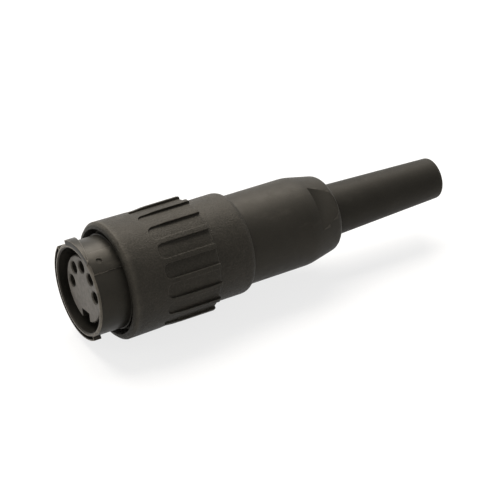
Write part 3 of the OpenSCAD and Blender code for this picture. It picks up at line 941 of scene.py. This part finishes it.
@dataclass
class GripRing:
    """The ribbed locking ring: one pocket with half a rib on each side, repeated round the axis."""

    book: GroupBook
    pattern: RoundPattern
    rib_count: int = 18
    front: float = 4.85
    nose: Point = (8.92, 4.93)
    lip_r: float = 8.4
    lip_soft: float = 0.08
    mouth_r: float = 7.95
    mouth_floor: float = 6.3
    bore_start: float = 6.6
    edge_len: float = 0.58
    edge_soft: float = 0.2
    collar_r: float = 9.38
    collar_rear_r: float = 9.27
    collar_margin: float = 0.45
    collar_step: float = 1.0
    collar_rows: int = 4
    pocket_front: float = 10.7
    pocket_half_arc: float = 7.5
    pocket_corner: float = 1.0
    pocket_floor_r: float = 8.97
    rib_front: float = 11.8
    rib_rise: float = 2.4
    rib_r: float = 9.42
    rib_rows: int = 7
    rib_wear: float = 0.3
    grip_rear: float = 20.1
    rear_round: float = 0.25
    skirt_r: float = 8.24
    skirt_foot: float = 0.12
    skirt_round: Point = (0.62, 1.1)
    skirt_rows: int = 4
    skirt_pull: float = 0.97
    rear: float = 26.9
    bore_r: float = 7.52
    seam: float = 0.015
    wall_soft: float = 0.08
    floor_soft: float = 0.08
    steps: int = 4
    floor_steps: int = 6
    corner_steps: int = 8
    outward_above: float = 0.1
    skin_depth: float = 0.1
    rear_margin: float = 0.01
    sharp_deg: float = 40.0

    def build(self) -> None:
        """Builds the ring from its sectors and the bore of the CAD node, and dresses it."""
        finish = RING_FINISH.material(self.book)
        skin = self.pattern.repeat(self._sector(), self.rib_count, math.pi / self.rib_count, finish)
        dress(self._close(skin), "locking_ring", Body.TURNING, finish)

    def _top(self, z: float) -> float:
        """Gives the radius of the collar and of the ribs that rise behind it.

        Args:
            z: Place along the axis.

        Returns:
            The radius there.
        """
        collar_start = self.front + self.edge_len
        share = min((z - collar_start) / (self.rib_front - collar_start), 1.0)
        rise = min(max((z - self.rib_front) / self.rib_rise, 0.0), 1.0)
        rise = rise * rise * (3.0 - 2.0 * rise)
        collar = self.collar_r + (self.collar_rear_r - self.collar_r) * share
        return collar + (self.rib_r - self.collar_rear_r) * rise - self._fall(z)

    def _fall(self, z: float) -> float:
        """Gives how far the rounded rear end of ribs and pockets has fallen below the full radius."""
        into = max(z - (self.grip_rear - self.rear_round), 0.0)
        return self.rear_round - math.sqrt(max(self.rear_round ** 2 - into ** 2, 0.0))

    def _stations(self) -> list[tuple[Point, Point, Point]]:
        """Lists the stations along the left half of a pocket's wall, from the rear to the front.

        Returns:
            For each station the wall's point (across, along), the outward direction and the point
            (angle in radians, along) on the sector's border that it faces.
        """
        half_w = self.collar_rear_r * math.sin(math.radians(self.pocket_half_arc))
        corner_z = self.pocket_front + self.pocket_corner
        inner = half_w - self.pocket_corner
        border = -math.pi / self.rib_count
        fore = self.pocket_front - self.collar_margin
        down = range(self.steps, -1, -1)
        rows = [self.grip_rear - self.rear_round * (1.0 - math.sin(math.pi / 2 * i / self.steps))
                for i in down]
        ramp = [self.rib_front + self.rib_rise * i / self.steps for i in down]
        rows += [rows[-1] + (ramp[0] - rows[-1]) * i / self.rib_rows for i in range(1, self.rib_rows)]
        rows += ramp
        found = [((-half_w, z), (-1.0, 0.0), (border, z)) for z in rows]
        middle = self.corner_steps // 2
        ahead = math.asin(-inner / self._top(fore))
        for i in range(self.corner_steps + 1):
            a = math.pi * (1.0 + 0.5 * i / self.corner_steps)
            out = (math.cos(a), math.sin(a))
            wall = (-inner + self.pocket_corner * out[0], corner_z + self.pocket_corner * out[1])
            if i <= middle:
                aim = (border, corner_z + (fore - corner_z) * i / middle)
            else:
                aim = (border + (ahead - border) * (i - middle) / (self.corner_steps - middle), fore)
            found.append((wall, out, aim))
        return found

    def _ladder(self, wall: Point, out: Point, aim: Point) -> list[tuple[float, float, float, float]]:
        """Lists the points across a pocket's edge, from the sector's border to the floor.

        Args:
            wall: Point of the wall, across and along.
            out: Direction away from the pocket.
            aim: Angle in radians and place along of the border point.

        Returns:
            Angle in radians, radius, place along and wear of each point.
        """
        def at(gap: float, r: float, wear: float) -> tuple[float, float, float, float]:
            """Places a point at a distance from the wall."""
            return (math.asin((wall[0] + out[0] * gap) / r), r, wall[1] + out[1] * gap, wear)

        soft, foot, n = self.wall_soft, self.floor_soft, self.steps
        top = self._top(wall[1] + out[1] * soft)
        floor = self.pocket_floor_r - self._fall(wall[1])
        start = at(soft, top, self.rib_wear)
        points = []
        for i in range(n):
            share = i / n
            along = aim[1] + (start[2] - aim[1]) * share
            points.append((aim[0] + (start[0] - aim[0]) * share, self._top(along), along, 0.0))
        quarter = [math.pi / 2 * i / n for i in range(n + 1)]
        for t in quarter:
            wear = self.rib_wear + (1.0 - self.rib_wear) * math.sin(2.0 * t)
            points.append(at(soft * (1.0 - math.sin(t)), top - soft * (1.0 - math.cos(t)), wear))
        for t in quarter:
            points.append(at(foot * (math.cos(t) - 1.0), floor + foot * (1.0 - math.sin(t)), 0.0))
        return points

    def _front_profile(self) -> list[Point]:
        """Lists the points of the collar, from the pockets to the mouth.

        Returns:
            Radius and place along of each point.
        """
        fore = self.pocket_front - self.collar_margin
        edge = (self.collar_r, self.front + self.edge_len)
        lip = (self.lip_r, self.front)
        mouth = (self.mouth_r, self.mouth_floor)
        places = [fore - self.collar_step * i for i in range(1, self.collar_rows + 1)]
        points = [(self._top(z), z) for z in places]
        points += rounded(points[-1], edge, self.nose, self.edge_soft, self.steps)
        points += rounded(edge, self.nose, lip, self.edge_soft, self.steps)
        points += rounded(self.nose, lip, mouth, self.lip_soft, self.steps)
        return points + [mouth]

    def _rear_profile(self) -> list[Point]:
        """Lists the points of the bare skirt, from the ribs' step to the rear face.

        Returns:
            Radius and place along of each point.
        """
        n, foot = self.steps, self.skirt_foot
        across, along = self.skirt_round
        start = self.rear - along
        points = []
        for i in range(n + 1):
            t = math.pi / 2 * i / n
            points.append((self.skirt_r + foot * (1.0 - math.sin(t)),
                           self.grip_rear + foot * (1.0 - math.cos(t))))
        foot_z = points[-1][1]
        for i in range(1, self.skirt_rows):
            points.append((self.skirt_r, foot_z + (start - foot_z) * i / self.skirt_rows))
        for i in range(2 * n + 1):
            t = math.pi / 2 * i / (2 * n)
            points.append((self.skirt_r - across * (1.0 - math.cos(t)), start + along * math.sin(t)))
        return points + [(self.bore_r + self.seam, self.rear)]

    def _skirt_angles(self, angles: list[float]) -> list[float]:
        """Spreads the columns behind a pocket's undercut walls, so that they rise evenly.

        Args:
            angles: Angles of the outline at the ribs' rear ends, in radians.

        Returns:
            Angles of the same columns on the skirt.
        """
        first, last = self.steps, 3 * self.steps + 1
        start, end = angles[first], angles[last] * self.skirt_pull
        wall = [start + (end - start) * i / (last - first) for i in range(last - first)]
        left = angles[:first] + wall
        return left + self._across(end) + [-a for a in reversed(left)]

    def _across(self, first: float) -> list[float]:
        """Lists even steps from a value to its negative, one for each column of a pocket's floor."""
        return [first * (1 - 2 * j / self.floor_steps) for j in range(self.floor_steps + 1)]

    def _sector(self) -> bpy.types.Mesh:
        """Builds the outer skin of one sector: collar, pocket, two half ribs and skirt.

        Returns:
            The sector's mesh, open at its borders, with its wear attribute.
        """
        bm = bmesh.new()
        wear_and_light = bm.verts.layers.float.new(WEAR_AND_LIGHT)
        polar: dict[bmesh.types.BMVert, float] = {}

        def vert(angle: float, r: float, z: float, wear: float = 0.0) -> bmesh.types.BMVert:
            """Adds one vertex and keeps its angle.

            Args:
                angle: Angle in radians.
                r: Radius.
                z: Place along the axis.
                wear: How far it is rubbed bare.

            Returns:
                The vertex.
            """
            made = on_circle(bm, r, angle, z)
            made[wear_and_light] = wear
            polar[made] = angle
            return made

        def skin(rows: list[list[bmesh.types.BMVert]]) -> None:
            """Fills quads between neighbouring rows.

            Args:
                rows: Rows of equally many vertices.
            """
            for one, two in zip(rows, rows[1:]):
                for i in range(len(one) - 1):
                    bm.faces.new((one[i], one[i + 1], two[i + 1], two[i]))

        stations = self._stations()
        left = [[vert(*p) for p in self._ladder(*s)] for s in stations]
        right = [[vert(-p[0], *p[1:]) for p in self._ladder(*s)] for s in stations]
        (inner, ahead), fore, (first, aim_z) = stations[-1]
        between = list(zip(self._across(inner), self._across(first)))[1:-1]
        front = [[vert(*p) for p in self._ladder((x, ahead), fore, (a, aim_z))] for x, a in between]
        skin(left + front + right[::-1])
        floor = []
        for one, two in zip(left[:-1], right[:-1]):
            x = one[-1].co.x / MM
            r = self.pocket_floor_r - self._fall(x)
            floor.append([one[-1], *(vert(a, r, x) for a in self._across(polar[one[-1]])[1:-1]), two[-1]])
        floor.append([left[-1][-1], *(f[-1] for f in front), right[-1][-1]])
        skin(floor)
        middle = len(stations) - 1 - self.corner_steps + self.corner_steps // 2
        border = [s[0] for s in left[middle:] + front + right[:middle - 1:-1]]
        edge = self.front + self.edge_len
        collar = [[vert(polar[v], r, z, 1.0 if abs(z - edge) < self.edge_soft else 0.0) for v in border]
                  for r, z in self._front_profile()]
        skin([border] + collar)
        outline = left[0] + floor[0][1:-1] + right[0][::-1]
        angles = self._skirt_angles([polar[v] for v in outline])
        skirt = [[vert(a, r, z) for a in angles] for r, z in self._rear_profile()]
        skin([outline] + skirt)
        return to_mesh(bm, "ring_sector")

    def _close(self, skin: bpy.types.Mesh) -> bpy.types.Object:
        """Joins the outer skin to the bore and slots of the CAD node.

        Args:
            skin: The ring of sectors.

        Returns:
            The closed ring.
        """
        bm = welded("locking_ring")
        outer = [f for f in bm.faces if self._is_outer(f)]
        bmesh.ops.delete(bm, geom=outer, context="FACES")
        everything = bm.verts[:] + bm.edges[:] + bm.faces[:]
        bmesh.ops.bisect_plane(bm, geom=everything, plane_co=(self.bore_start * MM, 0.0, 0.0),
                               plane_no=(1.0, 0.0, 0.0), clear_inner=True)
        self._lengthen(bm)
        bm.from_mesh(skin)
        bmesh.ops.triangle_fill(bm, edges=self._rim(bm, self.mouth_floor), use_beauty=True)
        bmesh.ops.bridge_loops(bm, edges=self._rim(bm, self.rear))
        bmesh.ops.recalc_face_normals(bm, faces=bm.faces)
        return finished(bm, "ring_moulding", self.sharp_deg)

    def _lengthen(self, bm: bmesh.types.BMesh) -> None:
        """Draws the bore's open front edge forward to the mouth's floor, face by face in a fixed order.

        Args:
            bm: The open bore.
        """
        rim = self._rim(bm, self.bore_start)
        drawn: dict[bmesh.types.BMVert, bmesh.types.BMVert] = {}
        for vert in (v for edge in rim for v in edge.verts):
            if vert not in drawn:
                drawn[vert] = bm.verts.new((self.mouth_floor * MM, vert.co.y, vert.co.z))
        for one, two in [edge.verts for edge in rim]:
            bm.faces.new((one, two, drawn[two], drawn[one]))

    @staticmethod
    def _rim(bm: bmesh.types.BMesh, z: float) -> list[bmesh.types.BMEdge]:
        """Lists the open edges that lie at one place along the axis."""
        return [e for e in bm.edges
                if e.is_boundary and all(abs(v.co.x / MM - z) < ON_PLANE for v in e.verts)]

    def _is_outer(self, face: bmesh.types.BMFace) -> bool:
        """Tells whether a face of the CAD node lies on the outside that the sectors replace.

        Args:
            face: Face of the CAD node.

        Returns:
            True for the collar, the ribs, the pockets, and the skirt's outside and rear face.
        """
        middle = face.calc_center_median() / MM
        r = math.hypot(middle.y, middle.z)
        outward = (face.normal.y * middle.y + face.normal.z * middle.z) / r
        return (outward > self.outward_above or r > self.skirt_r - self.skin_depth
                or middle.x > self.rear - self.rear_margin)


@dataclass
class Coupling:
    """The bayonet sleeve and the ribbed ring that turns it."""

    book: GroupBook
    pattern: RoundPattern

    def build(self) -> None:
        """Builds and dresses both pieces."""
        BayonetSleeve(self.book, self.pattern).build()
        GripRing(self.book, self.pattern).build()


@dataclass
class ContactBlock:
    """The insert with its socket contacts."""

    book: GroupBook
    contact_count: int = 5
    # Depth behind the insert's front face within which faces are painted lighter.
    lit_face_depth: float = 0.12
    sharp_deg: float = 32.0

    def build(self) -> None:
        """Builds and dresses the insert and the contacts."""
        insert = finished(welded("contact_insert"), "insert_moulding", self.sharp_deg)
        # Faces near the front take the light wear tone as painted light on the face; the hole walls behind
        # keep the dark tone as painted shade.
        face_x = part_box("contact_insert")[0][0] + self.lit_face_depth * MM
        marked = insert.data.attributes.new(WEAR_AND_LIGHT, "FLOAT", "FACE")
        for polygon, value in zip(insert.data.polygons, marked.data):
            value.value = 1.0 if polygon.center.x < face_x else 0.0
        dress(insert, "contact_insert", Body.FIXED, INSERT_FINISH.material(self.book))
        plated = BRASS_FINISH.material(self.book)
        for number in range(1, self.contact_count + 1):
            contact = finished(welded(f"contact_{number}"), f"socket_contact_{number}", self.sharp_deg)
            dress(contact, f"contact_{number}", Body.FIXED, plated)


@dataclass
class InnerParts:
    """The fixed tube inside with its contact retainer, clip, washer, distance sleeve and cable clamp."""

    book: GroupBook
    sharp_deg: float = 32.0

    def build(self) -> None:
        """Builds and dresses the pieces inside the housing."""
        grey = INNER_FINISH.material(self.book)
        steel = STEEL_FINISH.material(self.book)
        for node, name, slot, finish in (
            ("core_tube", "carrier_tube", Slot.INNER, grey),
            ("contact_retainer", "retainer_plate", Slot.INNER, grey),
            ("distance_sleeve", "distance_tube", Slot.INNER, grey),
            ("clamp_cage", "finger_cage", Slot.INNER, grey),
            ("clamp_cone", "cone_ring", Slot.INNER, grey),
            ("retaining_clip", "snap_ring", Slot.STEEL, steel),
            ("spring_washer", "wave_washer", Slot.STEEL, steel),
        ):
            dress(finished(welded(node), name, self.sharp_deg), node, Body.FIXED, finish)


@dataclass
class CableEnd:
    """The back shell with its spanner flats and the bend-relief boot."""

    book: GroupBook
    pattern: RoundPattern
    shell: TurnedShape = TurnedShape((
        (7.32, 19.05, 0.12), (7.25, 38.9, 8.0), (6.075, 44.45, 1.3), (4.3, 44.45, 0.06),
        (4.3, 38.65, 0.0), (6.6, 36.35, 0.0), (6.6, 19.05, 0.0),
    ), facets=144)
    shell_sharp_deg: float = 24.0
    flats_across: float = 12.0
    flats_angle: float = 133.0
    flats_span: Point = (39.95, 44.95)
    flats_deep: float = 4.0
    flats_wide: float = 20.0
    boot: TurnedShape = TurnedShape((
        (2.5, 35.65, 0.0), (6.25, 35.65, 0.0), (6.25, 36.6, 0.0), (4.25, 38.6, 0.0), (4.25, 44.45, 0.0),
        (3.4, 65.9, 0.6), (2.5, 65.9, 0.08),
    ), facets=96)
    boot_sharp_deg: float = 32.0

    def build(self) -> None:
        """Builds and dresses both pieces."""
        shell_finish, boot_finish = SHELL_FINISH.material(self.book), BOOT_FINISH.material(self.book)
        shell = self._flatten(self.shell.build(self.pattern, shell_finish))
        mark_edges(shell)
        housing = finished(shell, "shell_moulding", self.shell_sharp_deg)
        dress(housing, "back_shell", Body.FIXED, shell_finish)
        boot = self.boot.build(self.pattern, boot_finish)
        mark_edges(boot)
        relief = finished(boot, "boot_moulding", self.boot_sharp_deg)
        dress(relief, "boot", Body.FIXED, boot_finish)

    def _flatten(self, shell: bmesh.types.BMesh) -> bmesh.types.BMesh:
        """Cuts the two spanner flats.

        Args:
            shell: The turned shell, which is freed.

        Returns:
            The shell with its flats.
        """
        front, rear = self.flats_span
        size = (rear - front, self.flats_deep, self.flats_wide)
        middle = ((front + rear) / 2, (self.flats_across + self.flats_deep) / 2, 0.0)
        for side in (0.0, 180.0):
            shell = carve(shell, placed_box(size, middle, self.flats_angle + side), Cut.REMOVE)
        return shell


@dataclass(frozen=True)
class AreaLamp:
    """One soft rectangular lamp, with its distance and sides in metres."""

    name: str
    toward: Corner
    distance: float
    width: float
    height: float
    watts: float
    tint: Colour

    def build(self, aim: Vector) -> None:
        """Places the lamp and turns it to the object.

        Args:
            aim: Point that the lamp looks at, in metres.
        """
        data = bpy.data.lights.new(self.name, "AREA")
        data.shape = "RECTANGLE"
        data.size = self.width
        data.size_y = self.height
        data.energy = self.watts
        data.color = self.tint
        lamp = linked(self.name, data)
        away = Vector(self.toward).normalized()
        lamp.location = aim + away * self.distance
        lamp.rotation_mode = "QUATERNION"
        lamp.rotation_quaternion = (-away).to_track_quat("-Z", "Y")


@dataclass
class Studio:
    """Pale floor, soft light and the camera at the photograph's angle."""

    azimuth: float = -32.1769
    elevation: float = 34.2905
    roll: float = 1.739
    distance: float = 336.954
    lens: float = 159.4
    sensor: float = 36.0
    clip_m: Point = (0.01, 20.0)
    aim: Corner = (32.9, 0.0, 0.0)
    slide: Point = (-3.525, -1.292)
    floor_half_m: float = 3.0
    floor_white: float = 0.90
    shadow_share: float = 0.22
    ambient: float = 0.25
    ambient_tint: Colour = (1.0, 0.985, 0.96)
    lamps: tuple[AreaLamp, ...] = (
        AreaLamp("overhead_lamp", toward=(0.10, 0.55, 0.85), distance=0.45, width=0.50, height=0.34,
                 watts=5.6, tint=(1.0, 0.955, 0.90)),
        AreaLamp("front_fill", toward=(-0.80, 0.10, 0.60), distance=0.60, width=0.30, height=0.30,
                 watts=0.5, tint=(1.0, 0.97, 0.93)),
    )

    def build(self) -> None:
        """Builds the stage in order."""
        self._world()
        self._floor()
        for lamp in self.lamps:
            lamp.build(Vector(self.aim) * MM)
        self._camera()
        bpy.context.scene.view_settings.view_transform = "Standard"

    @staticmethod
    def _seen(tree: bpy.types.NodeTree) -> bpy.types.NodeSocket:
        """Adds a mask of the rays that should see the white background.

        Args:
            tree: Tree of the world or the floor.

        Returns:
            A socket that is 1 for camera, glossy and transmission rays.
        """
        path = put(tree, "ShaderNodeLightPath").outputs
        first = put(tree, "ShaderNodeMath", operation="MAXIMUM")
        second = put(tree, "ShaderNodeMath", operation="MAXIMUM")
        wire(
            tree,
            (path["Is Camera Ray"], first.inputs[0]),
            (path["Is Glossy Ray"], first.inputs[1]),
            (first.outputs[0], second.inputs[0]),
            (path["Is Transmission Ray"], second.inputs[1]),
        )
        return second.outputs[0]

    def _world(self) -> None:
        """Makes the world white to the camera and a soft warm fill to the object."""
        world = bpy.data.worlds.new("studio_world")
        bpy.context.scene.world = world
        world.use_nodes = True
        tree = world.node_tree
        fill = tree.nodes["Background"]
        fill.inputs["Color"].default_value = (*self.ambient_tint, 1.0)
        fill.inputs["Strength"].default_value = self.ambient
        white = put(tree, "ShaderNodeBackground", {"Color": WHITE})
        mix = put(tree, "ShaderNodeMixShader")
        wire(
            tree,
            (self._seen(tree), mix.inputs["Fac"]),
            (fill.outputs["Background"], mix.inputs[1]),
            (white.outputs["Background"], mix.inputs[2]),
            (mix.outputs["Shader"], tree.nodes["World Output"].inputs["Surface"]),
        )

    def _floor(self) -> None:
        """Makes the pale floor that the object lies on; it keeps the object's shadow."""
        low, half = CAD_BOX[0].z, self.floor_half_m
        mesh = bpy.data.meshes.new("pale_floor")
        corners = [(-half, -half, low), (half, -half, low), (half, half, low), (-half, half, low)]
        mesh.from_pydata(corners, [], [(0, 1, 2, 3)])
        mat, tree = fresh_material("floor_white")
        tree.nodes.remove(tree.nodes["Principled BSDF"])
        matte = put(tree, "ShaderNodeBsdfDiffuse", {"Color": (*(self.floor_white,) * 3, 1.0)})
        glow = put(tree, "ShaderNodeEmission", {"Color": WHITE})
        share = put(tree, "ShaderNodeMath", {1: 1.0 - self.shadow_share}, operation="MULTIPLY")
        mix = put(tree, "ShaderNodeMixShader")
        wire(
            tree,
            (self._seen(tree), share.inputs[0]),
            (share.outputs[0], mix.inputs["Fac"]),
            (matte.outputs["BSDF"], mix.inputs[1]),
            (glow.outputs["Emission"], mix.inputs[2]),
            (mix.outputs["Shader"], tree.nodes["Material Output"].inputs["Surface"]),
        )
        mesh.materials.append(mat)
        linked("pale_floor", mesh)

    def _camera(self) -> None:
        """Places the camera as the photograph's outline gives it, for a square picture."""
        a, e, r = (math.radians(x) for x in (self.azimuth, self.elevation, self.roll))
        back = Vector((math.sin(a) * math.cos(e), -math.cos(a) * math.cos(e), math.sin(e)))
        level = Vector((math.cos(a), math.sin(a), 0.0))
        upright = back.cross(level)
        right = level * math.cos(r) + upright * math.sin(r)
        up = upright * math.cos(r) - level * math.sin(r)
        eye = Vector(self.aim) + back * self.distance + right * self.slide[0] + up * self.slide[1]
        data = bpy.data.cameras.new("photo_camera")
        data.lens = self.lens
        data.sensor_width = self.sensor
        data.clip_start, data.clip_end = self.clip_m
        camera = linked("photo_camera", data)
        turn = Matrix((right, up, back)).transposed().to_4x4()
        camera.matrix_world = Matrix.Translation(eye * MM) @ turn
        bpy.context.scene.camera = camera


def main() -> None:
    """Builds every sub-assembly and the stage."""
    logging.basicConfig(level=logging.INFO, format="%(message)s")
    book = GroupBook()
    pattern = RoundPattern("round_pattern")
    for assembly in (Coupling(book, pattern), ContactBlock(book), InnerParts(book),
                     CableEnd(book, pattern), Studio()):
        assembly.build()
        LOG.info("%s is in place", type(assembly).__name__)


if __name__ == "__main__":
    main()
